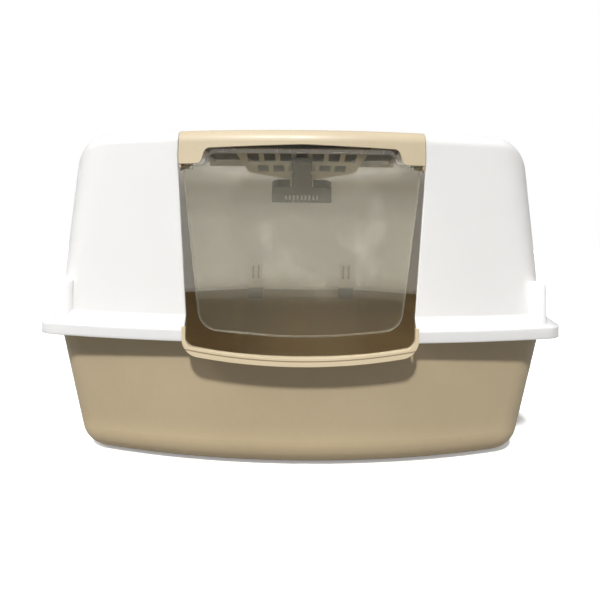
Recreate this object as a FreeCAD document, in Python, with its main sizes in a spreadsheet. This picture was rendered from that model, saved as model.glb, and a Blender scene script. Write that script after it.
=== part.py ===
# Hooded cat litter box for a room corner: tray, hood, hinged front lid with
# its swing door, filter cover with carbon pad, and a litter scoop.
# Millimetres. +Z up, front is -Y, +X to the right seen from the front.
# Origin: on the floor, under the middle of the whole box.

import FreeCAD, Part
import math
import os
import Sketcher
from FreeCAD import Placement, Rotation, Vector

doc = FreeCAD.newDocument("litter_box")

# ---------------------------------------------------------------- dimensions
CELLS = [
    # plan of the flange, which is the widest outline of the box
    ("flange_half", 339.0, "half width over the hood flange"),
    ("flange_front", 226.0, "front of the flange, distance ahead of the origin"),
    ("flange_back", 234.0, "back of the flange, distance behind the origin"),
    ("side_end", 37.0, "y where the straight side turns into the corner chamfer"),
    ("back_flat", 122.9, "x where the flat back turns into the corner chamfer"),
    ("corner_front", 40.0, "front corner radius"),
    ("corner_side", 64.0, "radius between side and chamfer"),
    ("corner_back", 40.0, "radius between chamfer and back"),
    ("bow_hood", 0.27736, "sine of the bow angle of the hood front"),
    ("bow_tray", 0.31, "sine of the bow angle of the tray front"),
    ("shift_side", 0.4663, "chamfer end shift per unit of inset, side"),
    ("shift_back", 0.364, "chamfer end shift per unit of inset, back"),
    # hood
    ("flange_low", 158.0, "underside of the flange"),
    ("flange_high", 172.0, "top of the flange band"),
    ("ledge_high", 187.0, "top of the sloped ledge"),
    ("roof_top", 417.0, "top of the roof"),
    ("hood_wall", 2.6, "hood wall thickness"),
    ("wall_inset_low", 19.0, "hood wall inset from the flange, at the ledge"),
    ("wall_inset_high", 24.5, "hood wall inset from the flange, at the roof"),
    ("front_inset_low", 14.0, "front wall inset at the ledge"),
    ("front_inset_high", 30.0, "front wall inset at the roof"),
    ("roof_corner", 84.0, "plan radius of the front corners at the roof"),
    ("roof_corner_back", 62.0, "plan radius of the rear corners at the roof"),
    ("roof_round", 55.0, "roof edge radius at the sides and back"),
    ("roof_brow", 18.0, "roof edge radius along the front"),
    ("open_low", 136.4, "opening half width at the flange underside"),
    ("open_high", 155.0, "opening half width at the roof"),
    ("open_knee", 380.0, "height above which the opening is straight"),
    ("open_rear", 30.0, "y of the rear edge of the roof opening"),
    ("ledge_reach", 9.0, "how far the lid ledge reaches under the lid"),
    ("post_half", 303.0, "x of the side catch posts"),
    ("post_y", 167.0, "catch posts, ahead of the origin"),
    ("post_radius", 12.5, "catch post radius at the foot"),
    ("post_tip", 10.5, "catch post radius at the top"),
    ("post_top", 229.0, "top of the catch posts"),
    # tray
    ("tray_top", 162.0, "top of the sloping tray wall"),
    ("tray_inset_high", 12.0, "tray wall inset from the flange at the top"),
    ("tray_inset_low", 49.5, "tray wall inset from the flange at the floor"),
    ("tray_front_high", 17.0, "tray front inset at the top"),
    ("tray_front_low", 23.0, "tray front inset at the floor"),
    ("tray_corner", 52.0, "tray front corner radius"),
    ("tray_wall", 2.8, "tray wall thickness"),
    ("base_round", 36.0, "radius round the tray bottom"),
    ("rim_low", 160.0, "underside of the tray rim"),
    ("rim_mid", 169.0, "top of the upright rim edge"),
    ("rim_high", 181.0, "top of the tray rim"),
    ("rim_gap", 4.5, "rim edge inset from the flange outline"),
    ("rim_inset", 18.6, "rim top inset from the flange outline"),
    ("rim_front", 15.1, "rim top front inset"),
    # entrance lip
    ("lip_reach", 8.0, "lip stands out ahead of the flange"),
    ("lip_half", 138.4, "half width over the lip ends"),
    ("lip_inner", 134.0, "half width between the lip ends"),
    ("lip_top", 142.6, "height of the sill in the middle"),
    ("lip_low", 132.9, "underside of the lip in the middle"),
    ("lip_end", 176.6, "top of the lip ends"),
    ("lip_bow", 810.0, "radius of the sill line"),
    ("lip_back", 221.5, "rear face of the lip, ahead of the origin"),
    ("lip_step", 5.0, "the wall behind the lip is this much lower"),
    ("lip_corner", 13.0, "corner radius inside the lip"),
    ("lip_corner_out", 22.0, "corner radius outside the lip"),
    # lid
    ("seam", 0.8, "gap between lid and hood"),
    ("lobe_low", 372.5, "lower edge of the lid at its sides"),
    ("lobe_in", 126.0, "x where the lid edge starts to rise"),
    ("arch_out", 120.0, "x where the lid edge is up"),
    ("arch_side", 392.0, "lower edge of the lid beside the arch"),
    ("arch_mid", 396.0, "lower edge of the lid in the middle"),
    ("cheek_in", 150.5, "inner face of the pivot cheeks"),
    ("cheek_wall", 2.4, "pivot cheek thickness"),
    ("vent_length", 62.0, "roof vent slot length"),
    ("vent_width", 5.0, "roof vent slot width"),
    ("vent_pitch", 15.0, "roof vent slot spacing"),
    # lid hinge
    ("hinge_y", 34.0, "lid hinge axis"),
    ("hinge_z", 422.0, "lid hinge axis height"),
    ("knuckle", 4.5, "hinge knuckle radius"),
    ("knuckle_in", 88.0, "inner end of each lid hinge"),
    ("knuckle_long", 12.0, "length of one hinge knuckle"),
    ("pin_radius", 2.0, "hinge pin radius"),
    ("pin_play", 0.06, "running clearance of a pin"),
    # door
    ("door_mid", 184.0, "door middle plane at the centre, ahead of the origin"),
    ("door_wall", 2.4, "door thickness"),
    ("door_bow", 1600.0, "door bow radius"),
    ("door_rim", 1.9, "width of the door's raised edge"),
    ("door_brow", 5.0, "width of the raised edge along the top"),
    ("door_bead", 0.6, "height of the door's raised edge"),
    ("door_top", 392.0, "top of the door"),
    ("door_arch", 115.0, "x where the door top starts to fall"),
    ("door_neck", 122.5, "x where the door top has fallen"),
    ("door_bend", 374.0, "height of the door where its top has fallen"),
    ("door_shoulder", 369.8, "height of the door shoulder"),
    ("door_wide", 149.4, "half width of the door at its pivots"),
    ("door_low", 154.8, "bottom of the door"),
    ("door_narrow", 126.6, "half width of the door at the bottom"),
    ("door_side_low", 165.8, "height of the door's bottom corners"),
    ("door_low_bow", 740.0, "radius of the door's bottom edge"),
    ("door_corner", 27.0, "bottom corner radius"),
    ("pivot_y", 180.5, "door pivot axis, ahead of the origin"),
    ("pivot_z", 370.0, "door pivot axis height"),
    ("barrel", 3.6, "door pivot barrel radius"),
    ("barrel_in", 137.0, "inner end of the pivot barrel"),
    ("barrel_out", 149.2, "outer end of the pivot barrel"),
    ("eye", 5.2, "radius of the cheek round the pivot"),
    # filter cover, seen from above: six-sided, floor falls to the rear
    ("filter_front", 98.0, "front of the filter cover, ahead of the origin"),
    ("filter_wide", 97.0, "half width at the front"),
    ("filter_knee", 14.0, "side end, ahead of the origin"),
    ("filter_mid", 85.0, "half width at the side end"),
    ("filter_rear", 20.0, "rear end, behind the origin"),
    ("filter_tip", 17.0, "half width at the rear end"),
    ("filter_high", 408.6, "top edge of the filter cover"),
    ("filter_lip", 406.5, "floor height at the front"),
    ("filter_deep", 380.0, "floor height at the rear"),
    ("filter_wall", 2.2, "filter cover wall thickness"),
    ("window_wide", 17.0, "grille window width"),
    ("window_pitch", 24.0, "grille window spacing"),
    ("pad_low", 404.6, "underside of the carbon pad"),
    ("pad_high", 411.4, "top of the carbon pad"),
    ("finger_gap", 16.1, "inner face of the scoop fingers"),
    ("finger_wall", 2.4, "scoop finger thickness"),
    # rear clips
    ("clip_x", 92.5, "middle of a rear clip"),
    ("clip_wide", 25.0, "rear clip width"),
    ("clip_foot", 30.0, "rear clip width at its foot"),
    ("clip_face", 205.735, "front face of the clips"),
    ("clip_thick", 5.0, "rear clip thickness"),
    ("clip_top", 232.0, "top of the clips"),
    ("clip_low", 160.0, "bottom of the clips"),
    ("clip_knee", 190.0, "height where the foot widens"),
    ("clip_slot", 4.0, "clip slot width"),
    ("clip_slot_pitch", 11.0, "clip slot spacing"),
    # scoop, in its own flat frame
    ("scoop_tilt", 11.69, "slope of the parked scoop"),
    ("scoop_front", 84.0, "handle end, ahead of the origin"),
    ("scoop_z", 391.9, "underside of the handle end"),
    ("scoop_grip", 112.0, "handle length"),
    ("scoop_width", 31.0, "handle width"),
    ("scoop_waist", 4.4, "how far each side of the handle is drawn in"),
    ("scoop_thick", 8.0, "handle thickness"),
    ("scoop_long", 94.0, "blade length"),
    ("scoop_neck", 50.0, "blade half width at the handle"),
    ("scoop_mouth", 56.0, "blade half width at the mouth"),
    ("scoop_skin", 2.2, "blade thickness"),
    ("scoop_side", 13.0, "blade side height"),
    ("scoop_slot", 3.0, "blade slot width"),
    ("scoop_pitch", 7.0, "blade slot spacing"),
]

sheet = doc.addObject("Spreadsheet::Sheet", "dims")
VALUES = {}
for row, (alias, value, note) in enumerate(CELLS, 1):
    sheet.set("A%d" % row, note)
    sheet.set("B%d" % row, repr(value))
    sheet.setAlias("B%d" % row, alias)
    VALUES[alias] = value
doc.recompute()


class Size:
    """A length together with the sheet expression that gives it."""

    def __init__(self, value, text):
        self.v, self.e = float(value), text

    @staticmethod
    def of(other):
        if isinstance(other, Size):
            return other
        return Size(other, "(%r)" % float(other) if other < 0 else repr(float(other)))

    def _join(self, other, sign, value):
        return Size(value, "(%s %s %s)" % (self.e, sign, Size.of(other).e))

    def __add__(self, o):
        return self._join(o, "+", self.v + Size.of(o).v)

    def __sub__(self, o):
        return self._join(o, "-", self.v - Size.of(o).v)

    def __mul__(self, o):
        return self._join(o, "*", self.v * Size.of(o).v)

    def __truediv__(self, o):
        return self._join(o, "/", self.v / Size.of(o).v)

    def __radd__(self, o):
        return Size.of(o) + self

    def __rsub__(self, o):
        return Size.of(o) - self

    def __rmul__(self, o):
        return Size.of(o) * self

    def __neg__(self):
        return Size(-self.v, "(0 - %s)" % self.e)


def D(alias):
    return Size(VALUES[alias], "dims." + alias)


def bind(obj, prop, size):
    size = Size.of(size)
    if "dims." in size.e:
        obj.setExpression(prop, size.e)
    elif prop.startswith(".Placement"):
        obj.setExpression(prop, size.e)
    else:
        setattr(obj, prop, size.v)


# ------------------------------------------------------------ sketch helpers
FLAT = Rotation()
FRONT = Rotation(Vector(1, 0, 0), 90)            # sketch x, y -> X, Z
SIDE = Rotation(0.5, 0.5, 0.5, 0.5)              # sketch x, y -> Y, Z


def drive(sk, kind, args, size):
    size = Size.of(size)
    number = sk.addConstraint(Sketcher.Constraint(kind, *(list(args) + [size.v])))
    if "dims." in size.e:
        sk.setExpression("Constraints[%d]" % number, size.e)
    return number


def pin_point(sk, geo, pos, x, y):
    """Fix a sketch point at x, y from the origin."""
    for kind, size, axis in (("DistanceX", Size.of(x), -2), ("DistanceY", Size.of(y), -1)):
        if abs(size.v) < 1e-9:
            sk.addConstraint(Sketcher.Constraint("PointOnObject", geo, pos, axis))
        elif size.v > 0:
            drive(sk, kind, (-1, 1, geo, pos), size)
        else:
            drive(sk, kind, (geo, pos, -1, 1), -size)


def fill_polygon(sk, corners):
    """Closed polygon; a corner is (x, y) or (x, y, radius)."""
    pts = [(Size.of(c[0]), Size.of(c[1]), Size.of(c[2]) if len(c) > 2 else None) for c in corners]
    n = len(pts)
    cut = []
    for i in range(n):
        p0, p1, p2 = (Vector(pts[k % n][0].v, pts[k % n][1].v, 0) for k in (i - 1 + n, i, i + 1))
        if pts[i][2] is None:
            cut.append((p1, p1, None))
            continue
        a, b = (p0 - p1).normalize(), (p2 - p1).normalize()
        half = a.getAngle(b) / 2
        r = pts[i][2].v
        reach = r / math.tan(half)
        mid = (a + b).normalize() * (r / math.sin(half)) + p1
        cut.append((p1 + a * reach, p1 + b * reach, mid))
    lines = []
    for i in range(n):
        lines.append(sk.addGeometry(Part.LineSegment(cut[i][1], cut[(i + 1) % n][0]), False))
    for i in range(n):
        before, after = lines[i - 1], lines[i]
        if cut[i][2] is None:
            sk.addConstraint(Sketcher.Constraint("Coincident", before, 2, after, 1))
            pin_point(sk, after, 1, pts[i][0], pts[i][1])
            continue
        s, e, mid = cut[i]
        a0 = math.atan2(s.y - mid.y, s.x - mid.x)
        a1 = math.atan2(e.y - mid.y, e.x - mid.x)
        turn = (s - mid).cross(e - mid).z
        circle = Part.Circle(mid, Vector(0, 0, 1), pts[i][2].v)
        if turn > 0:
            arc = sk.addGeometry(Part.ArcOfCircle(circle, a0, a1), False)
            first, last = 1, 2
        else:
            arc = sk.addGeometry(Part.ArcOfCircle(circle, a1, a0), False)
            first, last = 2, 1
        sk.addConstraint(Sketcher.Constraint("Tangent", before, 2, arc, first))
        sk.addConstraint(Sketcher.Constraint("Tangent", arc, last, after, 1))
        drive(sk, "Radius", (arc,), pts[i][2])
        dot = sk.addGeometry(Part.Point(Vector(pts[i][0].v, pts[i][1].v, 0)), True)
        sk.addConstraint(Sketcher.Constraint("PointOnObject", dot, 1, before))
        sk.addConstraint(Sketcher.Constraint("PointOnObject", dot, 1, after))
        pin_point(sk, dot, 1, pts[i][0], pts[i][1])


def place(obj, rotation, x=0, y=0, z=0):
    x, y, z = Size.of(x), Size.of(y), Size.of(z)
    obj.Placement = Placement(Vector(x.v, y.v, z.v), rotation)
    for axis, size in (("x", x), ("y", y), ("z", z)):
        if "dims." in size.e:
            obj.setExpression(".Placement.Base." + axis, size.e)
    return obj


def polygon(name, corners, rotation=FLAT, x=0, y=0, z=0):
    sk = doc.addObject("Sketcher::SketchObject", name)
    fill_polygon(sk, corners)
    return place(sk, rotation, x, y, z)


def outline(name, height, half, front, back, side, flat, rf, rs, rb, bow):
    """Plan outline: bowed front, straight sides, chamfered rear corners.
    side and flat are the centres of the two rear arcs of each side."""
    half, front, back, side, flat = map(Size.of, (half, front, back, side, flat))
    rf, rs, rb, bow = map(Size.of, (rf, rs, rb, bow))
    big = rf + (half - rf) / bow
    cy = big - front
    c0 = Vector(0, cy.v, 0)
    c1 = Vector(half.v - rf.v, cy.v - math.sqrt((big.v - rf.v) ** 2 - (half.v - rf.v) ** 2), 0)
    c2 = Vector(half.v - rs.v, side.v, 0)
    c3 = Vector(flat.v, back.v - rb.v, 0)
    beta = math.asin(bow.v)
    # direction of the chamfer's normal, from the two arcs it is tangent to
    gap = c3 - c2
    dist = math.hypot(gap.x, gap.y)
    base = math.atan2(gap.y, gap.x)
    # n . (c3 - c2) = rs - rb, n turned clockwise from the gap direction
    nang = base - math.acos((rs.v - rb.v) / dist)
    quarter = math.pi / 2

    def arc(c, r, a0, a1):
        return sk.addGeometry(Part.ArcOfCircle(Part.Circle(c, Vector(0, 0, 1), r), a0, a1), False)

    def on(c, r, a):
        return Vector(c.x + r * math.cos(a), c.y + r * math.sin(a), 0)

    def mir(p):
        return Vector(-p.x, p.y, 0)

    sk = doc.addObject("Sketcher::SketchObject", name)
    g = []
    g.append(arc(c0, big.v, -quarter - beta, -quarter + beta))
    g.append(arc(c1, rf.v, -quarter + beta, 0))
    g.append(sk.addGeometry(Part.LineSegment(Vector(half.v, c1.y, 0), Vector(half.v, c2.y, 0)), False))
    g.append(arc(c2, rs.v, 0, nang))
    g.append(sk.addGeometry(Part.LineSegment(on(c2, rs.v, nang), on(c3, rb.v, nang)), False))
    g.append(arc(c3, rb.v, nang, quarter))
    g.append(sk.addGeometry(Part.LineSegment(Vector(c3.x, back.v, 0), Vector(-c3.x, back.v, 0)), False))
    g.append(arc(mir(c3), rb.v, quarter, math.pi - nang))
    g.append(sk.addGeometry(Part.LineSegment(mir(on(c3, rb.v, nang)), mir(on(c2, rs.v, nang))), False))
    g.append(arc(mir(c2), rs.v, math.pi - nang, math.pi))
    g.append(sk.addGeometry(Part.LineSegment(Vector(-half.v, c2.y, 0), Vector(-half.v, c1.y, 0)), False))
    g.append(arc(mir(c1), rf.v, math.pi, 3 * quarter - beta))
    C = Sketcher.Constraint
    for i in range(12):
        sk.addConstraint(C("Tangent", g[i], 2, g[(i + 1) % 12], 1))
    drive(sk, "Radius", (g[0],), big)
    drive(sk, "Radius", (g[1],), rf)
    drive(sk, "Radius", (g[3],), rs)
    drive(sk, "Radius", (g[5],), rb)
    sk.addConstraint(C("Equal", g[1], g[11]))
    sk.addConstraint(C("Equal", g[3], g[9]))
    sk.addConstraint(C("Equal", g[5], g[7]))
    pin_point(sk, g[0], 3, 0, cy)
    sk.addConstraint(C("Vertical", g[2]))
    sk.addConstraint(C("Vertical", g[10]))
    drive(sk, "DistanceX", (-1, 1, g[2], 1), half)
    drive(sk, "DistanceX", (g[10], 1, -1, 1), half)
    sk.addConstraint(C("Horizontal", g[6]))
    drive(sk, "DistanceY", (-1, 1, g[6], 1), back)
    for a, b in ((g[3], g[5]), (g[9], g[7])):
        drive(sk, "DistanceY", (-1, 1, a, 3), side)
    drive(sk, "DistanceX", (-1, 1, g[5], 3), flat)
    drive(sk, "DistanceX", (g[7], 3, -1, 1), flat)
    return place(sk, FLAT, 0, 0, height)


def step_in(name, height, inset, front_inset, skin=0, rf=None, bow=None, rb=None):
    """The flange outline moved in by inset, then by the wall thickness skin,
    which also shrinks every corner radius."""
    inset, front_inset, skin = map(Size.of, (inset, front_inset, skin))
    rf = Size.of(rf if rf is not None else D("corner_front"))
    rb = Size.of(rb if rb is not None else D("corner_back"))
    bow = bow or D("bow_hood")
    big = rf + (D("flange_half") - inset - rf) / bow
    half = D("flange_half") - inset - skin
    return outline(name, height, half, D("flange_front") - front_inset - skin,
                   D("flange_back") - inset - skin,
                   D("side_end") - D("shift_side") * inset,
                   D("back_flat") - D("shift_back") * inset,
                   rf - skin, D("corner_side") - skin, rb - skin, bow)


def u_shape(name, half, top, low, big, corner, y):
    """U profile seen from the front: bowed bottom, round corners, open top."""
    half, top, low, big, corner = map(Size.of, (half, top, low, big, corner))
    sk = doc.addObject("Sketcher::SketchObject", name)
    c0 = Vector(0, low.v + big.v, 0)
    c1 = Vector(half.v - corner.v,
                c0.y - math.sqrt((big.v - corner.v) ** 2 - (half.v - corner.v) ** 2), 0)
    beta = math.asin((half.v - corner.v) / (big.v - corner.v))
    quarter = math.pi / 2
    z = Vector(0, 0, 1)
    g = [sk.addGeometry(Part.ArcOfCircle(Part.Circle(c0, z, big.v), -quarter - beta, -quarter + beta), False),
         sk.addGeometry(Part.ArcOfCircle(Part.Circle(c1, z, corner.v), -quarter + beta, 0), False),
         sk.addGeometry(Part.LineSegment(Vector(half.v, c1.y, 0), Vector(half.v, top.v, 0)), False),
         sk.addGeometry(Part.LineSegment(Vector(half.v, top.v, 0), Vector(-half.v, top.v, 0)), False),
         sk.addGeometry(Part.LineSegment(Vector(-half.v, top.v, 0), Vector(-half.v, c1.y, 0)), False),
         sk.addGeometry(Part.ArcOfCircle(Part.Circle(Vector(-c1.x, c1.y, 0), z, corner.v),
                                         math.pi, 3 * quarter - beta), False)]
    C = Sketcher.Constraint
    for i, kind in enumerate(("Tangent", "Tangent", "Coincident", "Coincident", "Tangent", "Tangent")):
        sk.addConstraint(C(kind, g[i], 2, g[(i + 1) % 6], 1))
    drive(sk, "Radius", (g[0],), big)
    drive(sk, "Radius", (g[1],), corner)
    sk.addConstraint(C("Equal", g[1], g[5]))
    pin_point(sk, g[0], 3, 0, low + big)
    sk.addConstraint(C("Vertical", g[2]))
    sk.addConstraint(C("Vertical", g[4]))
    drive(sk, "DistanceX", (-1, 1, g[2], 1), half)
    drive(sk, "DistanceX", (g[4], 1, -1, 1), half)
    sk.addConstraint(C("Horizontal", g[3]))
    drive(sk, "DistanceY", (-1, 1, g[3], 1), top)
    return place(sk, FRONT, 0, y, 0)


def bow_plan(name, front, big, half, back, z, inner=None):
    """Plan of a bowed slab: front arc, sides, and a straight or arc back."""
    front, big, half, back = map(Size.of, (front, big, half, back))
    sk = doc.addObject("Sketcher::SketchObject", name)
    c0 = Vector(0, big.v - front.v, 0)
    beta = math.asin(half.v / big.v)
    quarter = math.pi / 2
    up = Vector(0, 0, 1)
    fy = c0.y - math.sqrt(big.v ** 2 - half.v ** 2)
    C = Sketcher.Constraint
    g = [sk.addGeometry(Part.ArcOfCircle(Part.Circle(c0, up, big.v), -quarter - beta, -quarter + beta), False)]
    if inner is None:
        by = back.v
        g.append(sk.addGeometry(Part.LineSegment(Vector(half.v, fy, 0), Vector(half.v, by, 0)), False))
        g.append(sk.addGeometry(Part.LineSegment(Vector(half.v, by, 0), Vector(-half.v, by, 0)), False))
        g.append(sk.addGeometry(Part.LineSegment(Vector(-half.v, by, 0), Vector(-half.v, fy, 0)), False))
        ends = ((g[0], 2, g[1], 1), (g[1], 2, g[2], 1), (g[2], 2, g[3], 1), (g[3], 2, g[0], 1))
    else:
        inner = Size.of(inner)
        small = big - inner
        gam = math.asin(half.v / small.v)
        by = c0.y - math.sqrt(small.v ** 2 - half.v ** 2)
        g.append(sk.addGeometry(Part.LineSegment(Vector(half.v, fy, 0), Vector(half.v, by, 0)), False))
        g.append(sk.addGeometry(Part.ArcOfCircle(Part.Circle(c0, up, small.v), -quarter - gam, -quarter + gam), False))
        g.append(sk.addGeometry(Part.LineSegment(Vector(-half.v, by, 0), Vector(-half.v, fy, 0)), False))
        ends = ((g[0], 2, g[1], 1), (g[1], 2, g[2], 2), (g[2], 1, g[3], 1), (g[3], 2, g[0], 1))
    for e in ends:
        sk.addConstraint(C("Coincident", *e))
    drive(sk, "Radius", (g[0],), big)
    pin_point(sk, g[0], 3, 0, big - front)
    sk.addConstraint(C("Vertical", g[1]))
    sk.addConstraint(C("Vertical", g[3]))
    drive(sk, "DistanceX", (-1, 1, g[1], 1), half)
    drive(sk, "DistanceX", (g[3], 1, -1, 1), half)
    if inner is None:
        sk.addConstraint(C("Horizontal", g[2]))
        if by > 0:
            drive(sk, "DistanceY", (-1, 1, g[2], 1), back)
        else:
            drive(sk, "DistanceY", (g[2], 1, -1, 1), -back)
    else:
        drive(sk, "Radius", (g[2],), small)
        sk.addConstraint(C("Coincident", g[2], 3, g[0], 3))
    return place(sk, FLAT, 0, 0, z)


# -------------------------------------------------------------- Part helpers
def loft(name, sections):
    o = doc.addObject("Part::Loft", name)
    o.Sections = sections
    o.Solid, o.Ruled = True, True
    return o


def extrude(name, sk, direction, length):
    o = doc.addObject("Part::Extrusion", name)
    o.Base = sk
    o.DirMode = "Custom"
    o.Dir = Vector(*direction)
    o.Solid = True
    bind(o, "LengthFwd", length)
    return o


def cut(name, base, tool):
    o = doc.addObject("Part::Cut", name)
    o.Base, o.Tool = base, tool
    return o


def common(name, one, other):
    o = doc.addObject("Part::MultiCommon", name)
    o.Shapes = [one, other]
    return o


def fuse(name, shapes):
    o = doc.addObject("Part::MultiFuse", name)
    o.Shapes = shapes
    o.Refine = True
    return o


def box(name, x0, x1, y0, y1, z0, z1):
    x0, x1, y0, y1, z0, z1 = map(Size.of, (x0, x1, y0, y1, z0, z1))
    o = doc.addObject("Part::Box", name)
    bind(o, "Length", x1 - x0)
    bind(o, "Width", y1 - y0)
    bind(o, "Height", z1 - z0)
    return place(o, FLAT, x0, y0, z0)


def rod(name, radius, x0, length, y, z):
    """Cylinder along +X from x0."""
    o = doc.addObject("Part::Cylinder", name)
    bind(o, "Radius", radius)
    bind(o, "Height", length)
    return place(o, Rotation(Vector(0, 1, 0), 90), x0, y, z)


def round_edges(name, base, radius, wanted):
    """Part::Fillet on the edges that wanted() picks from the base shape."""
    doc.recompute()
    o = doc.addObject("Part::Fillet", name)
    o.Base = base
    o.Edges = [(i, radius.v, radius.v) for i, e in enumerate(base.Shape.Edges, 1) if wanted(e)]
    return o


def round_roof(name, base, z, front, rest):
    """Fillet of the top loop: one radius along the bowed front, another round
    the sides and back, blending over the two front corners."""
    doc.recompute()
    edges = []
    for i, e in enumerate(base.Shape.Edges, 1):
        if not level(z.v)(e):
            continue
        a, c = e.valueAt(e.FirstParameter), e.valueAt(e.LastParameter)
        mid = e.valueAt((e.FirstParameter + e.LastParameter) / 2)
        if abs(mid.x) < 1 and mid.y < 0:
            edges.append((i, front.v, front.v))
        elif mid.y < 0 and abs(abs(a.x) - abs(c.x)) > 5:
            inner_first = abs(a.x) < abs(c.x)
            edges.append((i, front.v, rest.v) if inner_first else (i, rest.v, front.v))
        else:
            edges.append((i, rest.v, rest.v))
    o = doc.addObject("Part::Fillet", name)
    o.Base = base
    o.Edges = edges
    return o


def level(z):
    return lambda e: abs(e.BoundBox.ZMin - z) < 1e-3 and abs(e.BoundBox.ZMax - z) < 1e-3


NODES = []


def node(obj, label):
    obj.Label = label
    NODES.append(obj)
    return obj


# --------------------------------------------------------------- hood dome
skin = D("hood_wall")
dome_out = loft("dome_outer", [
    step_in("dome_o1", D("flange_low"), 0, 0),
    step_in("dome_o2", D("flange_high"), 0, 0),
    step_in("dome_o3", D("ledge_high"), D("wall_inset_low"), D("front_inset_low")),
    step_in("dome_o4", D("roof_top"), D("wall_inset_high"), D("front_inset_high"), 0, D("roof_corner"), None, D("roof_corner_back")),
])
dome_outer = round_roof("dome_outer_round", dome_out, D("roof_top"), D("roof_brow"), D("roof_round"))
dome_in = loft("dome_inner", [
    step_in("dome_i1", D("flange_low") - 1, 0, 0, skin),
    step_in("dome_i2", D("flange_high") - 1.5, 0, 0, skin),
    step_in("dome_i3", D("ledge_high") - 2, D("wall_inset_low"), D("front_inset_low"), skin),
    step_in("dome_i4", D("roof_top") - skin, D("wall_inset_high"), D("front_inset_high"), skin, D("roof_corner"), None, D("roof_corner_back")),
])
dome_inner = round_roof("dome_inner_round", dome_in, D("roof_top") - skin, D("roof_brow") - skin, D("roof_round") - skin)
dome_skin = cut("dome_skin", dome_outer, dome_inner)

# opening: one notch through the front and over the roof
slope = (D("open_high") - D("open_low")) / (D("open_knee") - D("flange_low"))


def opening(name, extra, y0, length):
    low = D("open_low") - slope * 10 + extra
    high = D("open_high") + extra
    return extrude(name, polygon(name + "_sk", [
        (-low, D("flange_low") - 10), (low, D("flange_low") - 10), (high, D("open_knee")),
        (high, D("roof_top") + 14), (-high, D("roof_top") + 14), (-high, D("open_knee"))],
        FRONT, 0, y0, 0), (0, 1, 0), length)


front_gap = opening("opening_front", Size.of(0), -260, 130)
roof_gap = box("opening_roof", -D("open_high"), D("open_high"), -250, D("open_rear"),
               D("open_knee"), D("roof_top") + 20)
gap = fuse("opening_notch", [front_gap, roof_gap])

# ledges under the lid sides and the turned-down rear edge
ledge = []
for tag, sign in (("left", -1), ("right", 1)):
    a, b = D("open_high") - D("ledge_reach"), D("open_high") + 6
    x0, x1 = (a, b) if sign > 0 else (-b, -a)
    ledge.append(box("ledge_" + tag, x0, x1, -138, D("open_rear") + 2,
                     D("roof_top") - skin - 3.4, D("roof_top") - skin - 0.4))
    a = D("open_high") + 0.6
    x0, x1 = (a, b) if sign > 0 else (-b, -a)
    ledge.append(box("ledge_root_" + tag, x0, x1, -138, D("open_rear") + 2,
                     D("roof_top") - skin - 3.4, D("roof_top") - skin + 0.4))
rear_edge = box("rear_edge", -D("open_high"), D("open_high"), D("open_rear"), D("open_rear") + 2.6,
                D("roof_top") - 13, D("roof_top") - 1)

# catch posts on the side ledges
posts = []
for tag, sign in (("left", -1), ("right", 1)):
    post = doc.addObject("Part::Cone", "post_" + tag)
    bind(post, "Radius1", D("post_radius"))
    bind(post, "Radius2", D("post_tip"))
    bind(post, "Height", D("post_top") - D("flange_low") - 2)
    place(post, FLAT, D("post_half") * sign, -D("post_y"), D("flange_low") + 2)
    posts.append(round_edges("post_round_" + tag, post, Size.of(6.0), level(VALUES["post_top"])))
cap = fuse("dome_posts", [dome_outer] + posts)
walls = cut("hood_walls", cut("hood_hollow", cap, dome_inner), gap)

# lid hinge knuckles on the roof
hinge = []
for tag, sign in (("left", -1), ("right", 1)):
    for k in (0, 2):
        x0 = D("knuckle_in") + D("knuckle_long") * k
        lo = x0 if sign > 0 else -(x0 + D("knuckle_long"))
        hinge.append(rod("hood_knuckle_%s_%d" % (tag, k), D("knuckle"), lo, D("knuckle_long"),
                         D("hinge_y"), D("hinge_z")))
        hinge.append(box("hood_foot_%s_%d" % (tag, k), lo, lo + D("knuckle_long"),
                         D("hinge_y") - D("knuckle") + 0.7, D("hinge_y") + D("knuckle") + 4,
                         D("roof_top") - 1, D("hinge_z")))
hinge_bore = rod("hood_hinge_bore", D("pin_radius"), -150, 300, D("hinge_y"), D("hinge_z"))
hood = cut("hood_solid", fuse("hood_parts", [walls, rear_edge] + ledge + hinge), hinge_bore)
node(hood, "hood_shell")

# lid hinge pins
for tag, sign in (("left", -1), ("right", 1)):
    body = doc.addObject("PartDesign::Body", "hinge_pin_" + tag)
    sk = body.newObject("Sketcher::SketchObject", "hinge_pin_sk_" + tag)
    plane = [p for p in body.Origin.OriginFeatures if p.Role == "YZ_Plane"][0]
    sk.AttachmentSupport = [(plane, "")]
    sk.MapMode = "FlatFace"
    sk.addGeometry(Part.Circle(Vector(0, 0, 0), Vector(0, 0, 1), VALUES["pin_radius"]), False)
    sk.addConstraint(Sketcher.Constraint("Coincident", 0, 3, -1, 1))
    drive(sk, "Radius", (0,), D("pin_radius"))
    pad = body.newObject("PartDesign::Pad", "hinge_pin_pad_" + tag)
    pad.Profile = sk
    bind(pad, "Length", D("knuckle_long") * 3)
    body.Tip = pad
    x0 = D("knuckle_in") if sign > 0 else -(D("knuckle_in") + D("knuckle_long") * 3)
    place(body, FLAT, x0, D("hinge_y"), D("hinge_z"))
    node(body, "lid_hinge_pin_" + tag)

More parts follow.
